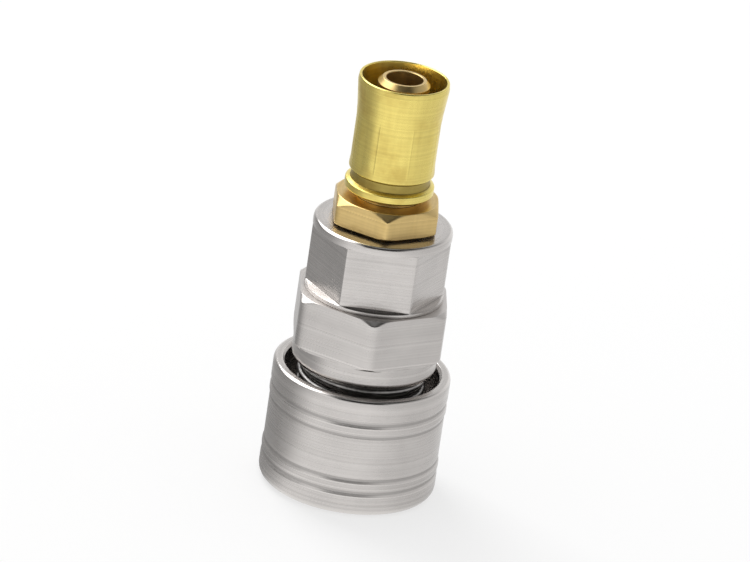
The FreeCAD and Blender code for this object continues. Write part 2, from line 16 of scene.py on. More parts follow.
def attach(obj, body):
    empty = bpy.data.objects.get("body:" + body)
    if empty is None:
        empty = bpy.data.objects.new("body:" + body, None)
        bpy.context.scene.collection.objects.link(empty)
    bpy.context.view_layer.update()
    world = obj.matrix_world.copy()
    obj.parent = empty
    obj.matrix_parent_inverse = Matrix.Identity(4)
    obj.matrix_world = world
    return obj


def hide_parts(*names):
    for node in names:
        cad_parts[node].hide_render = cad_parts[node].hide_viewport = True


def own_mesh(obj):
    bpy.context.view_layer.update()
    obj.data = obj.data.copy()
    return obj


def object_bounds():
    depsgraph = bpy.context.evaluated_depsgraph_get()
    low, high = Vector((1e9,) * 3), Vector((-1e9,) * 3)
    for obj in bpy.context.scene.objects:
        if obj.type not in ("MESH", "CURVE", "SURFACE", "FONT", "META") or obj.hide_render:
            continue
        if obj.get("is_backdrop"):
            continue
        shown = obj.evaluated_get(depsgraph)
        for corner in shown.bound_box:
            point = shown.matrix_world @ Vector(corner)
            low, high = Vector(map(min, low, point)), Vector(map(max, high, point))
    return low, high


bl_info = {
    "name": "Quick disconnect coupler",
    "version": (1, 0, 0),
    "blender": (4, 5, 0),
    "location": "3D View > Sidebar > Coupler",
    "description": "Builds the visible pieces of an air line coupler around its packed parts",
    "category": "Object",
}

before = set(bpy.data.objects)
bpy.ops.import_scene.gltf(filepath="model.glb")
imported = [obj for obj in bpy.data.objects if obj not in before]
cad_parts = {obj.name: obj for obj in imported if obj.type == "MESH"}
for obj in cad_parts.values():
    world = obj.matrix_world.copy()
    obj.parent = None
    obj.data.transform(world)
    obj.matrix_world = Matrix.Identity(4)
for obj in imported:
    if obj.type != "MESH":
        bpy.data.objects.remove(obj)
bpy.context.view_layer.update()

MM = 0.001
MERGE_DISTANCE = 1e-6
SHARP_ANGLE = math.radians(38)

# how closely outlines are stepped, in millimetres, and how many columns go round a piece or its sector
FILLET_STEP = math.radians(18)
# the largest share of a run that one of its roundings may take
FILLET_REACH = 0.45
SUPPORT = 0.05
COARSE_RUN = 1.6
SLOPED_RUN = 0.14
SLOPE_LEAST = 0.02
ROUND_COLUMNS = 144
TAPE_COLUMNS = 96
SECTOR_COLUMNS = 22
CORNER_CROWDING = 1.7

# a concave rounding larger than this, in millimetres, gets no painted shade
SOFT_ROUNDING = 0.5
# strength of the painted highlight on the edge between a milled flat and a turned face
MILLED_EDGE = 0.35

# down to the materials a length is in millimetres and a turn in degrees
SLEEVE_RADIUS = 14.0
GRIP_GROOVES = (4.2, 6.4, 13.7, 15.9)
GROOVE_FLOOR = 0.1
GROOVE_SPREAD = 2.6
GROOVE_DEPTH = 0.22
GROOVE_LIP_ROUNDING = 0.6
GROOVE_FLOOR_ROUNDING = 0.4
# painted shade in the grip grooves: its strength, its reach above and below each groove's middle, its fade,
# and how far under the groove floor it still reaches
GROOVE_SHADE = 0.55
GROOVE_SHADE_REACH = 0.5
GROOVE_SHADE_FADE = 0.4
GROOVE_SHADE_DEPTH = 0.1
BAND_DEPTH = 0.15
SLEEVE_FRONT = [
    (9.9, 0.1, 0.25),
    (SLEEVE_RADIUS, 0.1, 2.3),
]
SLEEVE_REAR = [
    (SLEEVE_RADIUS, 20.0, 1.25),
    (12.65, 20.0, 0.2),
    (12.2, 19.55, 0.2),
    (12.2, 11.4, 0.2),
    (9.1, 11.4, 0.1),
    (9.1, 9.58, 0.15),
    (10.3, 5.98, 0.3),
    (10.3, 3.35, 0.1),
    (8.85, 3.35, 0.06),
    (8.85, 2.15, 0.06),
    (9.9, 2.15, 0.1),
]
COLLAR_FACE = 20.6
COLLAR_FLATS = 23.0
COLLAR_TURN = 4.0
NOSE_RADIUS = 8.75
BALL_CIRCLE = 6.85
BALL_HEIGHT = 9.9
BALL_RADIUS = 2.0
BALLS = 6
SEAT_SLOPE = math.tan(math.radians(15))
SEAT_REACH = 2.03 / math.cos(math.radians(15))
SEAT_SIDES = 48
SOCKET_OUTLINE = [
    (6.85, 0.0, 0.1),
    (8.35, 0.0, 0.1),
    (NOSE_RADIUS, 0.4, 0.1),
    (NOSE_RADIUS, 1.05, 0.06),
    (8.15, 1.05, 0.06),
    (8.15, 2.15, 0.06),
    (NOSE_RADIUS, 2.15, 0.06),
    (NOSE_RADIUS, COLLAR_FACE, 0.15),
    (11.45, COLLAR_FACE, 1.2),
    (11.45, 24.4, 0.15),
    (12.5, 24.4, 0.3),
    (13.0, 24.9, 0.3),
    (13.0, 32.2, 0.15),
    (12.2, 32.9, 0.15),
    (10.23, 32.9, 0.1),
    (10.23, 31.34, 0.08),
    (8.7, 31.34, 0.08),
    (8.7, 25.0, 0.08),
    (8.2, 25.0, 0.08),
    (8.2, 20.6, 0.1),
    (5.8, 20.6, 0.06),
    (4.6, 19.4, 0.06),
    (4.6, 18.3, 0.1),
    (6.05, 18.3, 0.08),
    (6.05, 16.95, 0.06),
    (7.95, 16.95, 0.06),
    (7.95, 14.65, 0.06),
    (6.05, 14.65, 0.06),
    (6.05, 12.3, 0.05),
    (6.3, 12.3, 0.05),
    (6.3, 7.5, 0.05),
    (6.05, 7.5, 0.05),
    (6.05, 0.8, 0.15),
]
ADAPTER_FLATS = 19.0
ADAPTER_TURN = 33.5
ADAPTER_FOOT_HIGH = 33.6
ADAPTER_RIM_LOW = 43.2
RIM_FADE = 0.16
ADAPTER_OUTLINE = [
    (7.0, 25.1, 0.1),
    (8.17, 25.1, 0.1),
    (8.67, 25.6, 0.1),
    (8.67, 32.9, 0.05),
    (10.95, 32.9, 0.15),
    (10.95, 33.4, 0.0, 0.04),
    (10.95, 33.8, 0.0),
    (10.95, 43.0, 0.0, 0.04),
    (10.95, 43.4, 0.0),
    (10.95, 44.7, 1.28),
    (6.75, 44.7, 0.12),
    (6.15, 44.1, 0.1),
    (6.15, 35.7, 0.08),
    (5.9, 35.7, 0.05),
    (5.9, 33.95, 0.08),
    (7.0, 33.95, 0.08),
]
STEM_FLATS = 16.0
STEM_TURN = 4.0
THREAD_RUN = (36.1, 44.3)
THREAD_FADE = 0.5
THREAD_RADII = (5.6, 6.0)
VALLEY_NARROWING = 1.3
STEM_OUTLINE = [
    (2.9, 35.8, 0.1),
    (5.33, 35.8, 0.1),
    (5.93, 36.4, 0.1, 0.11),
    (5.93, 44.3, 0.05),
    (5.33, 44.3, 0.15),
    (5.33, 45.1, 0.1),
    (8.75, 45.1, 0.1),
    (9.15, 45.3, 0.1),
    (9.15, 48.1, 0.25),
    (8.0, 49.2, 0.2),
    (5.2, 49.2, 0.1),
    (5.2, 50.1, 0.08),
    (4.3, 50.1, 0.05),
    (4.3, 51.6, 0.05),
    (4.9, 51.6, 0.08),
    (4.9, 52.4, 0.08),
    (3.7, 52.4, 0.08),
    (3.7, 53.2, 0.08),
]
TAIL_TEETH = 6
TAIL_STEP = 2.8
TAIL_LAND = 0.8
TAIL_CREST = 4.1
TAIL_ROOT = 3.7
TAIL_TIP = [
    (3.4, 68.8, 0.15),
    (2.9, 68.8, 0.1),
]
JAWS = 8
CRIMP_FLATS = 13.2
CRIMP_TURN = 22.5
CRIMP_RUN = (54.0, 63.3)
CRIMP_FADE = 1.2
CRIMP_SOFTNESS = 0.12
CRIMP_INSIDE = 6.3
SEAM_WIDTH = 0.06
# strength of the worn-edge mark along the seams between the jaw flats, which paints a highlight on them
SEAM_EDGE = 0.5
FERRULE_GROOVE_RUN = (51.6, 53.6)
FERRULE_GROOVE_FADE = 0.4
FERRULE_GROOVE_INSIDE = 6.0
# painted shade in the groove under the ferrule's ring
FERRULE_GROOVE_SHADE = 0.62
FERRULE_OUTLINE = [
    (4.35, 50.15, 0.08),
    (6.65, 50.15, 0.15),
    (7.0, 50.5, 0.15),
    (7.0, 51.55, 0.2),
    (6.2, 51.9, 0.2),
    (6.2, 53.3, 0.2),
    (6.7, 53.65, 0.2, 0.4),
    (6.7, 63.6, 2.0),
    (7.15, 67.9, 0.6),
    (7.03, 68.9, 0.2),
    (6.63, 68.9, 0.15),
    (6.51, 67.9, 0.6),
    (6.06, 63.6, 2.0),
    (6.06, 53.65, 0.1),
    (5.56, 53.3, 0.1),
    (5.56, 51.55, 0.1),
    (4.35, 51.55, 0.08),
]
FINS = 4
FIN_HALF = 0.8
FIN_SOFTNESS = 0.12
FIN_COLUMN_RADII = np.array([4.5, 4.3, 3.9, 3.4, 2.9, 2.4, 2.0, 1.7, 1.4, 1.2])
FIN_TOP = 19.99
FIN_TOP_ROUNDING_LOW = 19.9
POPPET_NECK_CLEAR = 4.0
POPPET_OUTLINE = [
    (0.0, 16.285, 0.0),
    (4.5, 16.285, 0.35),
    (4.5, 19.985, 0.12),
    (3.9, 19.985, 0.05),
    (3.9, 21.845, 0.1),
    (6.0, 21.845, 0.15),
    (6.0, 23.245, 0.2),
    (2.6, 23.245, 0.1),
    (2.6, 24.245, 0.15),
    (1.5, 24.245, 0.15),
    (1.5, 34.65, 0.3),
    (0.0, 34.65, 0.0),
]

# name, radius of the wire and of the coil, foot, head, turns, and steps in a turn; the sleeve's coil stays
# a hair off the ledge that it stands on, so that the two never cut
VALVE_SPRING_HEAD = 32.25
SLEEVE_COIL = ("sleeve_coil", 0.55, 9.7, 11.42, COLLAR_FACE, 4.7, 48)
VALVE_COIL = ("valve_coil", 0.35, 3.11, 23.245, VALVE_SPRING_HEAD, 6.0, 28)
COIL_GROUND = 0.45
COIL_END_EASE = 0.55

# name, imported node, body, slot, radius of the ring, radius of its cord, height and opening in degrees
RINGS = [
    ("snap_ring", "retaining_ring", "socket", "spring_steel", 8.68, 0.5, 1.6, 15.0),
    ("plug_o_ring", "plug_seal", "socket", "black_rubber", 6.82, 1.1, 15.8, 0.0),
    ("valve_o_ring", "valve_seal", "poppet", "black_rubber", 4.8, 0.9, 20.915, 0.0),
    ("body_o_ring", "body_gasket", "socket", "black_rubber", 9.45, 0.75, 31.72, 0.0),
]

TAPE_OUTSIDE = 6.0
TAPE_WIDTH = 2.3
TAPE_LAP = 0.06
TAPE_RISE = 0.1
TAPE_SINK = 0.08
TAPE_OUTLINE = [
    (5.94, 37.0, 0.0),
    (6.12, 37.0, 0.05, 0.25),
    (6.12, 44.1, 0.05),
    (5.94, 44.1, 0.0),
]

# where the mesh's edge attribute counts as a worn edge with a painted highlight and where as a nook with
# painted shade
WORN_HIGHLIGHT_EDGE = (0.15, 0.9)
SHADED_NOOK_EDGE = (-0.1, -0.9)


# ---------------- node graphs


class Signal:
    """An output socket that can stand in a sum; each step of the sum adds a Math node."""

    def __init__(self, graph, socket):
        self.graph = graph
        self.socket = socket

    def step(self, operation, first, second):
        return self.graph.node("ShaderNodeMath", {0: first, 1: second}, operation=operation)

    def __add__(self, other):
        return self.step("ADD", self, other)

    def __sub__(self, other):
        return self.step("SUBTRACT", self, other)

    def __rsub__(self, other):
        return self.step("SUBTRACT", other, self)

    def __mul__(self, other):
        return self.step("MULTIPLY", self, other)

    def __pow__(self, other):
        return self.step("POWER", self, other)

    __radd__ = __add__
    __rmul__ = __mul__


class Graph:
    """A node tree that is filled one node at a time."""

    def __init__(self, tree):
        self.tree = tree
        tree.nodes.clear()

    def node(self, kind, inputs=None, output=0, **settings):
        """Add a node, its settings first and then the values or links of its sockets."""
        made = self.tree.nodes.new(kind)
        for name, setting in settings.items():
            setattr(made, name, setting)
        for key, given in (inputs or {}).items():
            if isinstance(given, Signal):
                self.tree.links.new(given.socket, made.inputs[key])
            else:
                made.inputs[key].default_value = given
        return Signal(self, made.outputs[output]) if made.outputs else made

    def blend(self, share, first, second):
        """A colour between two others."""
        return self.node(
            "ShaderNodeMix", {0: share, 6: first, 7: second}, 2, data_type="RGBA", clamp_factor=True,
        )

    def noise(self, place, scale=1.0, detail=3.0, roughness=0.55):
        """Noise of so many features per unit of the place."""
        inputs = {"Vector": place, "Scale": scale, "Detail": detail, "Roughness": roughness}
        return self.node("ShaderNodeTexNoise", inputs)

    def lines(self, run, scale, detail=2.0):
        """Noise of so many lines per metre that changes only along a run."""
        inputs = {"W": run, "Scale": scale, "Detail": detail}
        return self.node("ShaderNodeTexNoise", inputs, noise_dimensions="1D")

    def ramp(self, given, low, high, first=0.0, last=1.0):
        """A smooth step from first to last as the given value goes from low to high."""
        inputs = {"Value": given, "From Min": low, "From Max": high, "To Min": first, "To Max": last}
        return self.node("ShaderNodeMapRange", inputs, interpolation_type="SMOOTHSTEP")

    def attribute(self, name):
        return self.node("ShaderNodeAttribute", output="Fac", attribute_name=name)

    def stretched(self, place, scale):
        """A place scaled differently along the three axes."""
        return self.node("ShaderNodeMapping", {"Vector": place, "Scale": scale})

    def split(self, place, axes):
        """The coordinates of a place along the named axes."""
        return [self.node("ShaderNodeSeparateXYZ", {"Vector": place}, axis) for axis in axes]

    def lifted(self, geometry, height):
        """Geometry moved up, each point by its own height."""
        offset = self.node("ShaderNodeCombineXYZ", {"Z": height})
        return self.node("GeometryNodeSetPosition", {"Geometry": geometry, "Offset": offset})

    def circle(self, sides, radius):
        return self.node("GeometryNodeCurvePrimitiveCircle", {"Resolution": sides, "Radius": radius})

    def swept(self, path, sides, radius):
        """Round wire or cord along a path, closed at its ends."""
        inputs = {"Curve": path, "Profile Curve": self.circle(sides, radius), "Fill Caps": True}
        return self.node("GeometryNodeCurveToMesh", inputs)


def new_material(name):
    """A material, its node graph and the place on the object."""
    material = bpy.data.materials.new(name)
    material.use_nodes = True
    graph = Graph(material.node_tree)
    return material, graph, graph.node("ShaderNodeTexCoord", output="Object")


def shade(tint, factor):
    """A colour made darker or lighter, with its alpha."""
    return tuple(min(1.0, channel * factor) for channel in tint[:3]) + (1.0,)


def finish_surface(graph, height, depth, colour, rough, metallic):
    """A principled surface with a bump of the given depth in metres."""
    bump = graph.node("ShaderNodeBump", {"Distance": depth, "Height": height})
    surface = graph.node("ShaderNodeBsdfPrincipled", {
        "Base Color": colour, "Roughness": rough, "Metallic": metallic, "Normal": bump,
    })
    graph.node("ShaderNodeOutputMaterial", {"Surface": surface})


def edge_wear_and_shade(graph):
    """How worn an outer corner is, which the materials also paint as a highlight, and how much painted shade
    an inner one gets, from the mesh's edge attribute.
    """
    edge = graph.attribute("edge")
    return graph.ramp(edge, *WORN_HIGHLIGHT_EDGE), graph.ramp(edge, *SHADED_NOOK_EDGE)


def plated_steel(name, tint, gloss):
    """Satin plating over turned steel: tool lines, a cloudy sheen, hairlines, worn edges lightened partly as
    a painted highlight, and painted shade in nooks.
    """
    material, graph, place = new_material(name)
    run = graph.attribute("run")
    tool = graph.lines(run, scale=2600.0)
    passes = graph.lines(run, scale=620.0, detail=1.0)
    cloud = graph.noise(place, scale=170.0, detail=4.0)
    grain = graph.noise(place, scale=5200.0, detail=2.0)
    brushed = graph.stretched(place, (900.0, 900.0, 9000.0))
    hair = graph.ramp(graph.noise(brushed, detail=2.0, roughness=0.7), 0.66, 0.72)
    wear_and_highlight, nook_shade = edge_wear_and_shade(graph)
    light = tool * 0.45 + passes * 0.35 + cloud * 0.5 - hair * 0.15
    body = graph.blend(graph.ramp(light, 0.35, 0.95), shade(tint, 0.86), shade(tint, 1.1))
    # worn edges are lightened, partly as real wear and partly as a painted highlight, and nooks are darkened
    # as painted shade
    edged = graph.blend(wear_and_highlight * 0.6, body, shade(tint, 1.28))
    colour = graph.blend(nook_shade * 0.7, edged, shade(tint, 0.34))
    rough = cloud * 0.14 + tool * 0.12 + hair * 0.1 + nook_shade * 0.2 - wear_and_highlight * 0.1 + (gloss - 0.1)
    height = tool * 0.7 + passes * 0.5 + grain * 0.25 - hair * 0.3
    finish_surface(graph, height, 1.1e-5, colour, rough, metallic=1.0)
    return material


def turned_brass(name, tint, tarnish, gloss):
    """Bare brass: tool lines, warm tarnish in clouds, small bright worn edges that are partly a painted
    highlight, and tarnish-brown painted shade in corners.
    """
    material, graph, place = new_material(name)
    tool = graph.lines(graph.attribute("run"), scale=2300.0)
    cloud = graph.noise(place, scale=260.0, detail=5.0, roughness=0.6)
    patch = graph.noise(place, scale=90.0, detail=3.0)
    grain = graph.noise(place, scale=4200.0, detail=2.0)
    pulled = graph.stretched(place, (1500.0, 1500.0, 60.0))
    drawn = graph.noise(pulled, detail=2.0, roughness=0.5)
    wear_and_highlight, nook_shade = edge_wear_and_shade(graph)
    stain = graph.ramp(cloud * 0.6 + patch * 0.5, 0.5, 0.8)
    light = graph.ramp(tool * 0.6 + drawn * 0.4, 0.25, 0.8)
    body = graph.blend(light, shade(tint, 0.9), shade(tint, 1.08))
    stained = graph.blend(stain * 0.5, body, tuple(tarnish) + (1.0,))
    # worn edges are lightened, partly as real wear and partly as a painted highlight, and nooks are darkened
    # to a deep tarnish brown as painted shade
    edged = graph.blend(wear_and_highlight * 0.55, stained, shade(tint, 1.22))
    colour = graph.blend(nook_shade * 0.85, edged, shade(tarnish, 0.3))
    rough = cloud * 0.16 + stain * 0.12 + drawn * 0.08 + nook_shade * 0.2 - wear_and_highlight * 0.08 + (gloss - 0.1)
    height = tool * 0.6 + grain * 0.3
    finish_surface(graph, height, 1.0e-5, colour, rough, metallic=1.0)
    return material


def drawn_wire(name, tint):
    """Oiled spring wire with fine drawing lines and darker patches."""
    material, graph, place = new_material(name)
    cloud = graph.noise(place, scale=420.0, detail=4.0)
    pulled = graph.stretched(place, (1500.0, 1500.0, 9000.0))
    lines = graph.noise(pulled, detail=2.0, roughness=0.7)
    colour = graph.blend(graph.ramp(cloud, 0.35, 0.7), shade(tint, 0.6), shade(tint, 1.15))
    rough = cloud * 0.25 + lines * 0.1 + 0.16
    finish_surface(graph, lines, 4.0e-6, colour, rough, metallic=1.0)
    return material


def polished_ball(name, tint):
    """Ground and polished bearing steel with faint rolling tracks."""
    material, graph, place = new_material(name)
    cloud = graph.noise(place, scale=700.0)
    rolled = graph.stretched(place, (500.0, 3800.0, 500.0))
    tracks = graph.ramp(graph.noise(rolled, roughness=0.7), 0.6, 0.72)
    colour = graph.blend(cloud, shade(tint, 0.92), shade(tint, 1.08))
    rough = cloud * 0.06 + tracks * 0.16 + 0.05
    finish_surface(graph, tracks, 1.0e-6, colour, rough, metallic=1.0)
    return material


def moulded_rubber(name, tint):
    """Nitrile rubber with a dull mould skin, a little grease and dust."""
    material, graph, place = new_material(name)
    skin = graph.noise(place, scale=3600.0)
    grease = graph.noise(place, scale=330.0)
    dusty = shade([channel + 0.012 for channel in tint], 1.7)
    colour = graph.blend(graph.ramp(skin, 0.4, 0.75), tuple(tint) + (1.0,), dusty)
    rough = 0.62 - graph.ramp(grease, 0.5, 0.7) * 0.3 + skin * 0.1
    finish_surface(graph, skin, 1.2e-5, colour, rough, metallic=0.0)
    return material


def sealing_tape(name, tint):
    """Stretched white sealing tape, wrinkled along its winding."""
    material, graph, place = new_material(name)
    wound = graph.stretched(place, (420.0, 420.0, 5200.0))
    folds = graph.noise(wound, detail=4.0, roughness=0.65)
    fibre = graph.noise(graph.stretched(place, (5200.0, 5200.0, 900.0)), detail=2.0)
    colour = graph.blend(graph.ramp(folds, 0.35, 0.7), shade(tint, 0.8), shade(tint, 1.02))
    rough = folds * 0.15 + 0.5
    finish_surface(graph, folds + fibre * 0.3, 3.0e-5, colour, rough, metallic=0.0)
    return material


# ---------------- turned meshes


def fillet(before, here, after, rounding):
    """Points of the arc that rounds one corner, and the share of the way along it of each."""
    back, ahead = before - here, after - here
    back_length, ahead_length = np.linalg.norm(back), np.linalg.norm(ahead)
    back, ahead = back / back_length, ahead / ahead_length
    turn = math.pi - math.acos(float(np.clip(back @ ahead, -1, 1)))
    if rounding == 0 or turn < 1e-3:
        return [here], [0.0]
    reach = min(rounding * math.tan(turn / 2), FILLET_REACH * back_length, FILLET_REACH * ahead_length)
    inward = (back + ahead) / np.linalg.norm(back + ahead)
    centre = here + inward * reach / math.sin(turn / 2)
    first, last = here + back * reach - centre, here + ahead * reach - centre
    steps = max(2, round(turn / FILLET_STEP))
    shares = [step / steps for step in range(steps + 1)]
    arc = [
        centre + (math.sin((1 - share) * turn) * first + math.sin(share * turn) * last) / math.sin(turn)
        for share in shares
    ]
    return arc, shares


def between(first, last, spacing):
    """Points inside a straight run, close to its two ends and evenly spaced between them."""
    length = np.linalg.norm(last - first)
    sloped = min(abs(last - first)) > SLOPE_LEAST
    spacing = spacing or (SLOPED_RUN if sloped else COARSE_RUN)
    near = SUPPORT / length if length > 4 * SUPPORT else 0.5
    count = max(1, math.ceil(length / spacing))
    shares = sorted({near, 1 - near, *(step / count for step in range(1, count))})
    return [first + (last - first) * share for share in shares if near <= share <= 1 - near]


def cross(first, second):
    return first[0] * second[1] - first[1] * second[0]


def outline_rows(outline, closed):
    """Radius, height, edge and run of each row; edge is 1 on an outer and -1 on an inner corner."""
    corners = [np.array(corner[:2], float) for corner in outline]
    count = len(corners)
    area = sum(cross(corners[i], corners[(i + 1) % count]) for i in range(count))
    arcs, points, edges = [], [], []
    for index, corner in enumerate(outline):
        before, here, after = corners[index - 1], corners[index], corners[(index + 1) % count]
        is_end = not closed and index in (0, count - 1)
        arc, shares = ([here], [0.0]) if is_end else fillet(before, here, after, corner[2])
        is_outer = cross(here - before, after - here) * area > 0
        # outer corners are marked as worn edges, which the materials paint with a highlight, and inner
        # corners with small roundings as nooks, which get painted shade
        side = 1.0 if is_outer else float(corner[2] > SOFT_ROUNDING) - 1.0
        arcs.append((arc, [side * math.sin(math.pi * share) for share in shares]))
    for index, (arc, sides) in enumerate(arcs):
        points += arc
        edges += sides
        if closed or index < count - 1:
            spacing = outline[index][3] if len(outline[index]) > 3 else None
            inner = between(arc[-1], arcs[(index + 1) % count][0][0], spacing)
            points += inner
            edges += [0.0] * len(inner)
    points = np.array(points)
    run = np.concatenate([[0.0], np.cumsum(np.linalg.norm(np.diff(points, axis=0), axis=1))])
    return points[:, 0], points[:, 1], np.array(edges), run


def even_columns(count=ROUND_COLUMNS):
    return np.arange(count) * 2 * math.pi / count


def polygon_columns(sides, turn):
    """Columns round a polygon, closer together near its corners."""
    half = math.pi / sides
    shares = np.linspace(-1, 1, SECTOR_COLUMNS, endpoint=False)
    offsets = half * np.sign(shares) * (1 - (1 - abs(shares)) ** CORNER_CROWDING)
    middles = math.radians(turn - 90) + half + np.arange(sides) * 2 * half
    return np.sort(np.concatenate([middle + offsets for middle in middles]))


def soft_min(first, second, softness):
    """The smaller of two radii with a rounded change between them, and how near the change is."""
    near = np.clip(softness - abs(first - second), 0, None) / softness
    return np.minimum(first, second) - near ** 2 * softness / 4, near


def smooth(share):
    """A smooth step as the share goes from 0 to 1."""
    share = np.clip(share, 0, 1)
    return share * share * (3 - 2 * share)


def window(height, low, high, fade):
    """1 between two heights, fading to 0 at both."""
    return smooth(np.minimum(height - low, high - height) / fade)


def polygon_reach(angles, sides, flats, turn):
    """How far a polygon's flats lie from the axis, and the place across each flat from -1 to 1."""
    half = math.pi / sides
    local = np.mod(angles - math.radians(turn - 90), 2 * half) - half
    return flats / 2 / np.cos(local), local / half


def hexagon(flats, turn, softness):
    """A section that mills six flats."""

    def section(angles, radius, height, edge):
        reach, _ = polygon_reach(angles, 6, flats, turn)
        milled, near = soft_min(radius, reach, softness)
        # the edges of the flats are marked as worn, which paints a highlight along them
        return milled, np.where(near > 0, np.maximum(edge, near * MILLED_EDGE), edge)

    return section


def turned(name, outline, columns, section=None, closed=True):
    """A mesh object turned about Z from an outline, its rows shaped by the section."""
    radius, height, edge, run = outline_rows(outline, closed)
    rows, count = len(radius), len(columns)
    radius, height, edge, run, angles = np.broadcast_arrays(
        radius[:, None], height[:, None], edge[:, None], run[:, None], columns[None, :],
    )
    if section:
        radius, edge = section(angles, radius, height, edge)
    spots = np.stack([radius * np.cos(angles), radius * np.sin(angles), height], 2).reshape(-1, 3) * MM
    row, column = np.meshgrid(np.arange(rows if closed else rows - 1), np.arange(count), indexing="ij")
    next_row, next_column = (row + 1) % rows, (column + 1) % count
    faces = np.stack([
        row * count + column, row * count + next_column,
        next_row * count + next_column, next_row * count + column,
    ], 2).reshape(-1, 4)
    mesh = bpy.data.meshes.new(name)
    mesh.from_pydata(spots.tolist(), [], faces.tolist())
    for label, values in (("edge", edge), ("run", run * MM)):
        attribute = mesh.attributes.new(label, "FLOAT", "POINT")
        attribute.data.foreach_set("value", values.reshape(-1).astype(np.float32))
    clean(mesh)
    return add_object(name, mesh)


def clean(mesh):
    """Merge doubles, drop empty faces and turn every face outwards."""
    work = bmesh.new()
    work.from_mesh(mesh)
    bmesh.ops.remove_doubles(work, verts=work.verts, dist=MERGE_DISTANCE)
    bmesh.ops.dissolve_degenerate(work, edges=work.edges, dist=MERGE_DISTANCE)
    bmesh.ops.recalc_face_normals(work, faces=work.faces)
    work.to_mesh(mesh)
    work.free()


def add_object(name, data):
    item = bpy.data.objects.new(name, data)
    bpy.context.scene.collection.objects.link(item)
    return item


def paint(mesh, material):
    mesh.materials.clear()
    mesh.materials.append(material)


def evaluated_mesh(item):
    graph = bpy.context.evaluated_depsgraph_get()
    return bpy.data.meshes.new_from_object(item.evaluated_get(graph), depsgraph=graph)


def settle(item, material, body, slot, *nodes):
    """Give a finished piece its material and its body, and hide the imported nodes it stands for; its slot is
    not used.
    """
    mesh = item.data
    clean(mesh)
    paint(mesh, material)
    mesh.shade_smooth()
    mesh.set_sharp_from_angle(angle=SHARP_ANGLE)
    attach(item, body)
    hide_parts(*nodes)


# ---------------- geometry node trees

WHOLE_INPUTS = ("Sides", "Steps", "Count")


def start_tree(name, *numbers):
    """A geometry tree with number inputs and a material, and the signals of those inputs."""
    tree = bpy.data.node_groups.new(name, "GeometryNodeTree")
    graph = Graph(tree)
    tree.interface.new_socket("Geometry", in_out="OUTPUT", socket_type="NodeSocketGeometry")
    kinds = {label: "NodeSocketInt" if label in WHOLE_INPUTS else "NodeSocketFloat" for label in numbers}
    kinds["Material"] = "NodeSocketMaterial"
    for label, kind in kinds.items():
        tree.interface.new_socket(label, in_out="INPUT", socket_type=kind)
    group = tree.nodes.new("NodeGroupInput")
    return tree, graph, {label: Signal(graph, group.outputs[label]) for label in kinds}


def end_tree(graph, geometry, material):
    real = graph.node("GeometryNodeRealizeInstances", {"Geometry": geometry})
    painted = graph.node("GeometryNodeSetMaterial", {"Geometry": real, "Material": material})
    graph.node("NodeGroupOutput", {"Geometry": painted})


def grow(name, tree, values):
    """A plain mesh object that a geometry tree makes from values for its named inputs."""
    item = add_object(name, bpy.data.meshes.new(name))
    modifier = item.modifiers.new(tree.name, "NODES")
    modifier.node_group = tree
    for socket in tree.interface.items_tree:
        if socket.in_out == "INPUT":
            modifier[socket.identifier] = values[socket.name]
    mesh = evaluated_mesh(item)
    item.modifiers.remove(modifier)
    item.data = mesh
    clean(mesh)
    return item


def coil_tree():
    """Round wire on a helix with closed ends, ground flat at both heights."""
    tree, graph, given = start_tree(
        "wound_coil", "Wire Radius", "Coil Radius", "Low", "High", "Turns", "Sides", "Steps",
    )
    spiral = graph.node("GeometryNodeCurveSpiral", {
        "Resolution": given["Steps"], "Rotations": given["Turns"], "Start Radius": given["Coil Radius"],
        "End Radius": given["Coil Radius"], "Height": 0.0,
    })
    share = graph.node("GeometryNodeSplineParameter", output="Factor")
    eased = graph.ramp(share, 0.0, 1.0)
    low = given["Low"] + given["Wire Radius"] * COIL_GROUND
    high = given["High"] - given["Wire Radius"] * COIL_GROUND
    rise = low + (high - low) * (eased * COIL_END_EASE + share * (1.0 - COIL_END_EASE))
    wire = graph.swept(graph.lifted(spiral, rise), given["Sides"], given["Wire Radius"])
    height = graph.split(graph.node("GeometryNodeInputPosition"), "Z")[0]
    cut = height.step("MAXIMUM", height.step("MINIMUM", height, given["High"]), given["Low"])
    end_tree(graph, graph.lifted(wire, cut - height), given["Material"])
    return tree


def wind(coil, tree, material, sides):
    """A spring from its row of sizes."""
    name, wire, radius, low, high, turns, steps = coil
    return grow(name, tree, {
        "Wire Radius": wire * MM, "Coil Radius": radius * MM, "Low": low * MM, "High": high * MM,
        "Turns": turns, "Sides": sides, "Steps": steps, "Material": material,
    })


def cord_ring_tree():
    """A ring of round cord or wire at a height, with an opening if it has one."""
    tree, graph, given = start_tree(
        "cord_ring", "Ring Radius", "Cord Radius", "Height", "Opening", "Sides", "Steps",
    )
    arc = graph.node("GeometryNodeCurveArc", {
        "Resolution": given["Steps"], "Radius": given["Ring Radius"],
        "Sweep Angle": 2 * math.pi - given["Opening"],
    }, mode="RADIUS")
    circle = graph.circle(given["Steps"], given["Ring Radius"])
    is_open = graph.node(
        "FunctionNodeCompare", {0: given["Opening"], 1: 0.0}, data_type="FLOAT", operation="GREATER_THAN",
    )
    path = graph.node(
        "GeometryNodeSwitch", {"Switch": is_open, "False": circle, "True": arc}, input_type="GEOMETRY",
    )
    cord = graph.swept(path, given["Sides"], given["Cord Radius"])
    end_tree(graph, graph.lifted(cord, given["Height"]), given["Material"])
    return tree


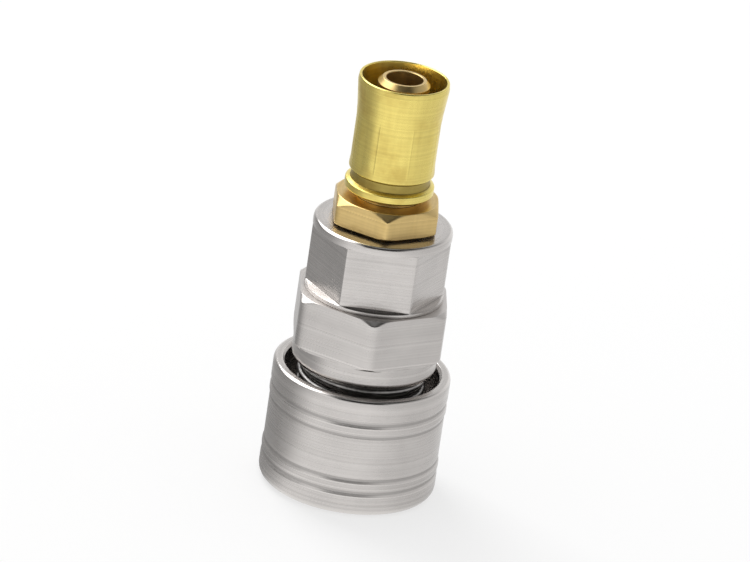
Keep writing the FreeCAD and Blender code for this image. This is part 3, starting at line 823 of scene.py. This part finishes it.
def seat_tree():
    """Tapered cutters pointing out from the axis at even steps, for the ball seats."""
    tree, graph, given = start_tree(
        "ball_seats", "Count", "Inner Reach", "Outer Reach", "Inner Radius", "Outer Radius", "Height",
    )
    cone = graph.node("GeometryNodeMeshCone", {
        "Vertices": SEAT_SIDES, "Radius Top": given["Outer Radius"], "Radius Bottom": given["Inner Radius"],
        "Depth": given["Outer Reach"] - given["Inner Reach"],
    }, fill_type="NGON")
    outwards = graph.node("ShaderNodeCombineXYZ", {"X": given["Inner Reach"]})
    lying = graph.node("GeometryNodeTransform", {
        "Geometry": cone, "Translation": outwards, "Rotation": (0.0, math.pi / 2, 0.0),
    })
    points = graph.node("GeometryNodePoints", {"Count": given["Count"]})
    index = graph.node("GeometryNodeInputIndex")
    turn = graph.node("ShaderNodeCombineXYZ", {"Z": index * (2 * math.pi / BALLS)})
    ring = graph.node("GeometryNodeInstanceOnPoints", {
        "Points": graph.lifted(points, given["Height"]), "Instance": lying, "Rotation": turn,
    })
    end_tree(graph, ring, given["Material"])
    return tree


# ---------------- settings


def length_property(name, description, default, least, most):
    return bpy.props.FloatProperty(
        name=name, description=description, default=default, min=least, max=most, unit="LENGTH",
        subtype="DISTANCE",
    )


class CouplerSizes(bpy.types.PropertyGroup):
    """Sizes of the visible detail."""

    edge_softness: length_property(
        "Edge softness", "Width of the rounded edge between a flat and a turned face", 0.0003, 0.00005, 0.001,
    )
    thread_pitch: length_property("Thread pitch", "Pitch of the hose stem's thread", 0.001337, 0.0005, 0.003)
    thread_depth: length_property("Thread depth", "Depth of the hose stem's thread", 0.00046, 0.0001, 0.001)
    jaw_ridge: length_property(
        "Jaw ridge", "Height of the ridges that the crimping jaws leave between them", 0.00005, 0.0, 0.0003,
    )
    wire_sides: bpy.props.IntProperty(
        name="Wire sides", description="Faces round a spring's wire", default=16, min=8, max=32,
    )
    ring_steps: bpy.props.IntProperty(
        name="Ring steps", description="Faces along a ring of cord", default=120, min=48, max=256,
    )


def colour_property(name, description, default):
    return bpy.props.FloatVectorProperty(
        name=name, description=description, default=default, min=0.0, max=1.0, size=3, subtype="COLOR",
    )


class CouplerColours(bpy.types.PropertyGroup):
    """Colours of the finishes."""

    plating: colour_property("Plating", "Plated steel of the sleeve, collar and adapter", (0.6, 0.573, 0.553))
    ferrule: colour_property("Ferrule", "Yellow brass of the crimped ferrule", (0.87, 0.715, 0.21))
    stem: colour_property("Stem", "Redder brass of the hose stem", (0.7, 0.512, 0.218))
    valve: colour_property("Valve", "Brass of the poppet and its guide", (0.8, 0.61, 0.28))
    # the tarnish colour tints the brass's stain clouds and, darkened, the painted shade in its corners
    tarnish: colour_property("Tarnish", "Brown that brass takes in corners", (0.46, 0.29, 0.06))
    ball: colour_property("Balls", "Bearing steel of the locking balls", (0.6, 0.6, 0.61))
    wire: colour_property("Wire", "Steel wire of the springs and the snap ring", (0.42, 0.41, 0.4))
    rubber: colour_property("Rubber", "Black rubber of the rings", (0.018, 0.018, 0.019))
    tape: colour_property("Tape", "Sealing tape in the inlet threads", (0.84, 0.84, 0.82))
    floor: colour_property("Floor", "Pale floor under the coupler", (0.9, 0.9, 0.9))


def settings():
    scene = bpy.context.scene
    return scene.coupler_sizes, scene.coupler_colours


# ---------------- operators


class ReleaseSleeveOperator(bpy.types.Operator):
    """Turn the release sleeve with its grip grooves, rounded ends and inner lands"""

    bl_idname = "coupler.release_sleeve"
    bl_label = "Release sleeve"

    def execute(self, context):
        _, colours = settings()
        outline = list(SLEEVE_FRONT)
        floor = SLEEVE_RADIUS - GROOVE_DEPTH
        band = SLEEVE_RADIUS - BAND_DEPTH
        low_lips = (SLEEVE_RADIUS, SLEEVE_RADIUS, band, SLEEVE_RADIUS)
        high_lips = (SLEEVE_RADIUS, band, SLEEVE_RADIUS, SLEEVE_RADIUS)
        for middle, low_lip, high_lip in zip(GRIP_GROOVES, low_lips, high_lips):
            low_edge = GROOVE_FLOOR + (low_lip - floor) * GROOVE_SPREAD
            high_edge = GROOVE_FLOOR + (high_lip - floor) * GROOVE_SPREAD
            outline += [
                (low_lip, middle - low_edge, GROOVE_LIP_ROUNDING),
                (floor, middle - GROOVE_FLOOR, GROOVE_FLOOR_ROUNDING),
                (floor, middle + GROOVE_FLOOR, GROOVE_FLOOR_ROUNDING),
                (high_lip, middle + high_edge, GROOVE_LIP_ROUNDING),
            ]
        outline += SLEEVE_REAR

        def section(angles, radius, height, edge):
            # the outer face round each grip groove is marked as a nook, so the plating gets painted shade
            # there
            groove_shade = sum(
                window(height, middle - GROOVE_SHADE_REACH, middle + GROOVE_SHADE_REACH, GROOVE_SHADE_FADE)
                for middle in GRIP_GROOVES
            )
            groove_shade = groove_shade * (radius > floor - GROOVE_SHADE_DEPTH)
            return radius, edge * (1 - groove_shade) - groove_shade * GROOVE_SHADE

        sleeve = turned("knock_back_sleeve", outline, even_columns(), section)
        steel = plated_steel("sleeve_plating", colours.plating, gloss=0.25)
        settle(sleeve, steel, "sleeve", "plated_steel", "release_sleeve")
        return {"FINISHED"}


class SocketBodyOperator(bpy.types.Operator):
    """Turn the socket body, mill its hexagon collar and cut the tapered ball seats"""

    bl_idname = "coupler.socket_body"
    bl_label = "Socket body"

    def execute(self, context):
        sizes, colours = settings()
        steel = plated_steel("body_plating", colours.plating, gloss=0.27)
        columns = polygon_columns(6, COLLAR_TURN)
        section = hexagon(COLLAR_FLATS, COLLAR_TURN, sizes.edge_softness / MM)
        body = turned("collar_and_nose", SOCKET_OUTLINE, columns, section)
        inner, outer = BALL_CIRCLE - BALL_RADIUS, NOSE_RADIUS + BALL_RADIUS
        cutters = grow("ball_seat_cutters", seat_tree(), {
            "Count": BALLS, "Inner Reach": inner * MM, "Outer Reach": outer * MM,
            "Inner Radius": (SEAT_REACH - BALL_RADIUS * SEAT_SLOPE) * MM,
            "Outer Radius": (SEAT_REACH + (outer - BALL_CIRCLE) * SEAT_SLOPE) * MM,
            "Height": BALL_HEIGHT * MM, "Material": steel,
        })
        cut = body.modifiers.new("seats", "BOOLEAN")
        cut.operation = "DIFFERENCE"
        cut.solver = "EXACT"
        cut.object = cutters
        mesh = evaluated_mesh(body)
        body.modifiers.remove(cut)
        body.data = mesh
        bpy.data.objects.remove(cutters)
        settle(body, steel, "socket", "plated_steel", "socket_body")
        return {"FINISHED"}


class InletAdapterOperator(bpy.types.Operator):
    """Turn the inlet adapter and mill its hexagon"""

    bl_idname = "coupler.inlet_adapter"
    bl_label = "Inlet adapter"

    def execute(self, context):
        sizes, colours = settings()
        columns = polygon_columns(6, ADAPTER_TURN)
        mill = hexagon(ADAPTER_FLATS, ADAPTER_TURN, sizes.edge_softness / MM)

        def section(angles, radius, height, edge):
            milled, marked = mill(angles, radius, height, edge)
            near_round = np.maximum(height - ADAPTER_RIM_LOW, ADAPTER_FOOT_HIGH - height)
            share = smooth(near_round / RIM_FADE + 0.5)
            depth = radius - milled
            # where the flats meet the round rim and foot, the flat side is marked as a nook, painted shade
            # under the step, and the round side as a worn edge, a painted highlight
            lip = np.clip(depth / RIM_FADE, 0, 1) * 4 * share * (1 - share) * np.sign(share - 0.5)
            return milled + depth * share, np.where(lip == 0, marked, lip)

        adapter = turned("inlet_hexagon", ADAPTER_OUTLINE, columns, section)
        steel = plated_steel("adapter_plating", colours.plating, gloss=0.24)
        settle(adapter, steel, "socket", "plated_steel", "inlet_adapter")
        return {"FINISHED"}


class HoseStemOperator(bpy.types.Operator):
    """Turn the brass stem with its thread, hexagon, locking groove and serrated tail"""

    bl_idname = "coupler.hose_stem"
    bl_label = "Hose stem"

    def execute(self, context):
        sizes, colours = settings()
        outline = list(STEM_OUTLINE)
        tail_low = outline[-1][1]
        for tooth in range(TAIL_TEETH):
            land = tail_low + tooth * TAIL_STEP
            outline += [(TAIL_CREST, land, 0.06), (TAIL_CREST, land + TAIL_LAND, 0.06)]
            if tooth < TAIL_TEETH - 1:
                outline.append((TAIL_ROOT, land + TAIL_STEP, 0.04))
        outline += TAIL_TIP
        pitch, depth = sizes.thread_pitch / MM, sizes.thread_depth / MM
        mill = hexagon(STEM_FLATS, STEM_TURN, sizes.edge_softness / MM)

        def section(angles, radius, height, edge):
            radius, edge = mill(angles, radius, height, edge)
            phase = 2 * math.pi * (height / pitch) - angles
            valley = (0.5 + 0.5 * np.cos(phase)) ** VALLEY_NARROWING
            outside = (radius > THREAD_RADII[0]) * (radius < THREAD_RADII[1])
            threaded = window(height, *THREAD_RUN, THREAD_FADE) * outside
            # thread crests are marked as worn edges, with a painted highlight, and the valleys as nooks, with
            # painted shade
            ridge = np.where(threaded > 0.5, 1 - 2 * valley, edge)
            return radius - depth * valley * threaded, ridge

        stem = turned("brass_hose_stem", outline, polygon_columns(6, STEM_TURN), section)
        brass = turned_brass("stem_brass", colours.stem, colours.tarnish, gloss=0.3)
        settle(stem, brass, "socket", "brass", "hose_stem")
        return {"FINISHED"}


class HoseFerruleOperator(bpy.types.Operator):
    """Turn the ferrule, press the eight jaw flats into it and flare its mouth"""

    bl_idname = "coupler.hose_ferrule"
    bl_label = "Hose ferrule"

    def execute(self, context):
        sizes, colours = settings()
        ridge = sizes.jaw_ridge / MM

        def section(angles, radius, height, edge):
            reach, local = polygon_reach(angles, JAWS, CRIMP_FLATS, CRIMP_TURN)
            pressed, _ = soft_min(radius, reach, CRIMP_SOFTNESS)
            shape = window(height, *CRIMP_RUN, CRIMP_FADE) * (radius > CRIMP_INSIDE)
            # the seams between the jaw flats are marked as worn edges, which paints a highlight along them
            seam = np.clip(1 - (1 - abs(local)) / SEAM_WIDTH, 0, 1)
            edges = np.where(shape > 0.3, np.maximum(edge, seam * SEAM_EDGE), edge)
            # the groove under the ring is marked as a nook, which gives it painted shade
            groove = window(height, *FERRULE_GROOVE_RUN, FERRULE_GROOVE_FADE)
            groove = groove * (radius > FERRULE_GROOVE_INSIDE)
            edges = np.minimum(edges, edges * (1 - groove) - groove * FERRULE_GROOVE_SHADE)
            return radius + (pressed - radius + ridge * seam) * shape, edges

        ferrule = turned("crimped_ferrule", FERRULE_OUTLINE, polygon_columns(JAWS, CRIMP_TURN), section)
        brass = turned_brass("ferrule_brass", colours.ferrule, colours.tarnish, gloss=0.27)
        settle(ferrule, brass, "socket", "brass", "hose_ferrule")
        return {"FINISHED"}


class ValvePoppetOperator(bpy.types.Operator):
    """Turn the poppet and leave four fins on its nose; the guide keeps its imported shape"""

    bl_idname = "coupler.valve_poppet"
    bl_label = "Valve poppet and guide"

    def execute(self, context):
        _, colours = settings()
        half = math.pi / FINS
        sides = np.arcsin(FIN_HALF / FIN_COLUMN_RADII)
        across = np.linspace(-sides[0], sides[0], 7)[1:-1]
        offsets = np.concatenate([-sides, across, sides, [half]])
        columns = np.sort(np.concatenate([offsets + fin * 2 * half for fin in range(FINS)]))

        def section(angles, radius, height, edge):
            local = np.mod(angles + half, 2 * half) - half
            reach = FIN_HALF / np.maximum(abs(np.sin(local)), 1e-3)
            finned, near = soft_min(radius, reach, FIN_SOFTNESS)
            below = (height < FIN_TOP_ROUNDING_LOW) | (radius > POPPET_NECK_CLEAR)
            nose = (height < FIN_TOP) & (radius > 0.01) & below
            # the fins' edges are marked as worn, which paints a highlight on them
            return np.where(nose, finned, radius), np.where(nose, np.maximum(edge, near), edge)

        poppet = turned("finned_poppet", POPPET_OUTLINE, columns, section, closed=False)
        brass = turned_brass("valve_brass", colours.valve, colours.tarnish, gloss=0.24)
        settle(poppet, brass, "poppet", "brass", "valve_poppet")
        paint(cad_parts["valve_guide"].data, brass)
        return {"FINISHED"}


class LockBallsOperator(bpy.types.Operator):
    """Give the six locking balls their polished steel"""

    bl_idname = "coupler.lock_balls"
    bl_label = "Locking balls"

    def execute(self, context):
        _, colours = settings()
        steel = polished_ball("ball_steel_finish", colours.ball)
        for index in range(BALLS):
            paint(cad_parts[f"lock_ball_{index + 1}"].data, steel)
        return {"FINISHED"}


class SpringsOperator(bpy.types.Operator):
    """Wind the sleeve spring and the valve spring"""

    bl_idname = "coupler.springs"
    bl_label = "Springs"

    def execute(self, context):
        sizes, colours = settings()
        steel = drawn_wire("spring_wire", colours.wire)
        tree = coil_tree()
        sleeve_spring = wind(SLEEVE_COIL, tree, steel, sizes.wire_sides)
        settle(sleeve_spring, steel, "spring_stack", "spring_steel", "sleeve_spring")
        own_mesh(sleeve_spring)
        valve_spring = wind(VALVE_COIL, tree, steel, sizes.wire_sides)
        settle(valve_spring, steel, "socket", "spring_steel", "valve_spring")
        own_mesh(valve_spring)
        return {"FINISHED"}


class RingsOperator(bpy.types.Operator):
    """Lay the snap ring and the three rubber rings"""

    bl_idname = "coupler.rings"
    bl_label = "Rings"

    def execute(self, context):
        sizes, colours = settings()
        tree = cord_ring_tree()
        finishes = {
            "spring_steel": drawn_wire("snap_ring_wire", colours.wire),
            "black_rubber": moulded_rubber("ring_rubber", colours.rubber),
        }
        for name, node, body, slot, ring, cord, height, opening in RINGS:
            item = grow(name, tree, {
                "Ring Radius": ring * MM, "Cord Radius": cord * MM, "Height": height * MM,
                "Opening": math.radians(opening), "Sides": sizes.wire_sides, "Steps": sizes.ring_steps,
                "Material": finishes[slot],
            })
            settle(item, finishes[slot], body, slot, node)
        return {"FINISHED"}


class SealingTapeOperator(bpy.types.Operator):
    """Wind the sealing tape on the hose stem's thread"""

    bl_idname = "coupler.sealing_tape"
    bl_label = "Sealing tape"

    def execute(self, context):
        _, colours = settings()

        def section(angles, radius, height, edge):
            wrap = np.mod(height / TAPE_WIDTH - angles / (2 * math.pi), 1.0)
            step = np.clip(wrap / TAPE_LAP, 0, 1) * (1 - wrap) * TAPE_RISE
            return np.where(radius > TAPE_OUTSIDE, radius - TAPE_SINK + step, radius), edge

        tape = turned("wound_tape", TAPE_OUTLINE, even_columns(TAPE_COLUMNS), section)
        white = sealing_tape("tape_finish", colours.tape)
        settle(tape, white, "socket", "white_tape", "thread_seal")
        return {"FINISHED"}


# ---------------- stage

# lengths are in metres from here on; a shade has the direction it lies in and the share of light it takes
WHITE = (1.0, 1.0, 1.0, 1.0)
LEFT_SHADE = (math.radians(-109), 0.75)
RIGHT_SHADE = (math.radians(92), 0.25)
FRONT_LIFT = (math.radians(-26), -0.07)
SIDE_SPREAD = (0.42, 1.0)
HORIZON_LIGHT = 0.97
CEILING = 0.65
CEILING_RISE = (0.25, 0.7)
# the dark cloth over the front, and the stretches of the axes along which it starts or ends
CAP_DEPTH = 0.97
CAP_LEFT = (-0.53, -0.32)
CAP_RIGHT = (0.42, 0.75)
CAP_LOW = (0.1, 0.36)
CAP_BACK = (0.4, 0.75)
CAP_ZENITH = (0.88, 1.0)
ZENITH_SHADE = 0.5
# the bright window at the left, its direction, spread and level
LEFT_GLOW = (-0.72, 0.12, 0.683)
GLOW_SPREAD = (0.84, 0.95)
GLOW_LEVEL = 2.4
# the world's level on rough surfaces, and how much of the floor glows for the camera and in mirrors
SOFT_LIGHT = 0.82
CAMERA_GLOW = 0.6
MIRROR_GLOW = 0.8
FLOOR_SPAN = 3.0
FLOOR_SIDES = 96
FLOOR_DROP = 0.00002
LAMP_SPOT = (-0.5, 0.62, 0.92)
LAMP_SIZE = (0.55, 0.8)
LAMP_POWER = 6.0
LAMP_AIM = Vector((0, 0, 0.035))
VIEW_RISE = math.radians(23)
VIEW_LEAN = math.radians(8.4)
VIEW_DISTANCE = 1.2
VIEW_WIDTH = 0.117
SENSOR_WIDTH = 36.0


def side_light(graph, x, y):
    """Light from the level direction of x and y, dimmer at the two sides of the studio."""
    length = (x * x + y * y) ** 0.5 + 1e-6
    light = HORIZON_LIGHT
    for angle, depth in (LEFT_SHADE, RIGHT_SHADE, FRONT_LIFT):
        along = (x * math.sin(angle) - y * math.cos(angle)) * length ** -1.0
        light = (1.0 - graph.ramp(along, *SIDE_SPREAD) * depth) * light
    return light


def light_rays(graph):
    """1 for rays from the camera, and 1 for rays that a surface mirrors or lets through."""
    camera, glossy, through = (
        graph.node("ShaderNodeLightPath", output=f"Is {kind} Ray")
        for kind in ("Camera", "Glossy", "Transmission")
    )
    return camera, glossy.step("MAXIMUM", glossy, through)


def build_world():
    """White behind the coupler for the camera, and a studio for what the metal mirrors."""
    world = bpy.data.worlds.new("studio")
    bpy.context.scene.world = world
    world.use_nodes = True
    graph = Graph(world.node_tree)
    x, y, z = graph.split(graph.node("ShaderNodeTexCoord", output="Generated"), "XYZ")
    camera, mirrored = light_rays(graph)
    cap = graph.ramp(x, *CAP_LEFT) * graph.ramp(x, *CAP_RIGHT, 1.0, 0.0)
    cap = cap * graph.ramp(z, *CAP_LOW) * graph.ramp(y, *CAP_BACK, 1.0, 0.0)
    cap = cap * graph.ramp(z, *CAP_ZENITH, 1.0, ZENITH_SHADE)
    upper = graph.ramp(z, *CEILING_RISE, 1.0, CEILING) * (1.0 - cap * CAP_DEPTH)
    toward = x * LEFT_GLOW[0] + y * LEFT_GLOW[1] + z * LEFT_GLOW[2]
    tone = side_light(graph, x, y) * upper + graph.ramp(toward, *GLOW_SPREAD) * GLOW_LEVEL
    level = camera + (1.0 - camera) * (mirrored * tone + (1.0 - mirrored) * SOFT_LIGHT)
    back = graph.node("ShaderNodeBackground", {"Color": WHITE, "Strength": level})
    graph.node("ShaderNodeOutputWorld", {"Surface": back})


def build_floor(tint):
    """A pale round floor that shows white to the camera, keeps the coupler's shadow and glows in what the
    metal mirrors, with painted shade towards its left and right.
    """
    work = bmesh.new()
    bmesh.ops.create_circle(work, cap_ends=True, segments=FLOOR_SIDES, radius=FLOOR_SPAN)
    mesh = bpy.data.meshes.new("floor")
    work.to_mesh(mesh)
    work.free()
    mesh.transform(Matrix.Translation((0, 0, -FLOOR_DROP)))
    floor = add_object("floor", mesh)
    material, graph, place = new_material("pale_floor")
    x, y = graph.split(place, "XY")
    camera, mirrored = light_rays(graph)
    paper = graph.node("ShaderNodeBsdfDiffuse", {"Color": tuple(tint) + (1.0,)})
    # in mirrors the floor glows, darker towards its left and right and a little lighter towards the front:
    # painted shade and painted light on the floor
    strength = camera + mirrored * side_light(graph, x, y)
    glow = graph.node("ShaderNodeEmission", {"Color": WHITE, "Strength": strength})
    share = camera * CAMERA_GLOW + mirrored * MIRROR_GLOW
    mixed = graph.node("ShaderNodeMixShader", {0: share, 1: paper, 2: glow})
    graph.node("ShaderNodeOutputMaterial", {"Surface": mixed})
    mesh.materials.append(material)
    floor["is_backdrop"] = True


def add_lamp():
    """A soft lamp at the left, behind the coupler, that faces its middle."""
    lamp = bpy.data.lights.new("softbox", "AREA")
    lamp.shape = "RECTANGLE"
    lamp.size, lamp.size_y = LAMP_SIZE
    lamp.energy = LAMP_POWER
    item = add_object("softbox", lamp)
    item.location = LAMP_SPOT
    item.rotation_euler = (Vector(LAMP_SPOT) - LAMP_AIM).to_track_quat("Z", "Y").to_euler()


def add_camera():
    """A camera at the photograph's height and lean, aimed at the coupler's middle."""
    low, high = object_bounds()
    middle = (Vector(low) + Vector(high)) / 2
    camera = bpy.data.cameras.new("photo_view")
    camera.sensor_width = SENSOR_WIDTH
    camera.lens = SENSOR_WIDTH * VIEW_DISTANCE / VIEW_WIDTH
    item = add_object("photo_view", camera)
    away = Vector((0, -math.cos(VIEW_RISE), math.sin(VIEW_RISE)))
    turn = away.to_track_quat("Z", "Y").to_matrix().to_4x4()
    item.matrix_world = (
        Matrix.Translation(middle + away * VIEW_DISTANCE) @ turn @ Matrix.Rotation(VIEW_LEAN, 4, "Z")
    )
    bpy.context.scene.camera = item


class StageOperator(bpy.types.Operator):
    """Set up the pale floor, the soft studio light and the camera"""

    bl_idname = "coupler.stage"
    bl_label = "Stage"

    def execute(self, context):
        _, colours = settings()
        build_world()
        build_floor(colours.floor)
        add_lamp()
        add_camera()
        context.scene.view_settings.view_transform = "Standard"
        return {"FINISHED"}


STEPS = (
    ReleaseSleeveOperator, SocketBodyOperator, InletAdapterOperator, HoseStemOperator,
    HoseFerruleOperator, ValvePoppetOperator, LockBallsOperator, SpringsOperator, RingsOperator,
    SealingTapeOperator, StageOperator,
)


class CouplerPanel(bpy.types.Panel):
    """The coupler's sizes, colours and pieces"""

    bl_idname = "VIEW3D_PT_coupler"
    bl_label = "Coupler"
    bl_space_type = "VIEW_3D"
    bl_region_type = "UI"
    bl_category = "Coupler"

    def draw(self, context):
        layout = self.layout
        for group in (context.scene.coupler_sizes, context.scene.coupler_colours):
            for name in group.__annotations__:
                layout.prop(group, name)
        for step in STEPS:
            layout.operator(step.bl_idname)


CLASSES = (CouplerSizes, CouplerColours, *STEPS, CouplerPanel)


def register():
    for item in CLASSES:
        bpy.utils.register_class(item)
    bpy.types.Scene.coupler_sizes = bpy.props.PointerProperty(type=CouplerSizes)
    bpy.types.Scene.coupler_colours = bpy.props.PointerProperty(type=CouplerColours)


def unregister():
    del bpy.types.Scene.coupler_colours
    del bpy.types.Scene.coupler_sizes
    for item in reversed(CLASSES):
        bpy.utils.unregister_class(item)


def main():
    register()
    for step in STEPS:
        name = step.bl_idname.split(".")[1]
        getattr(bpy.ops.coupler, name)()


if __name__ == "__main__":
    main()
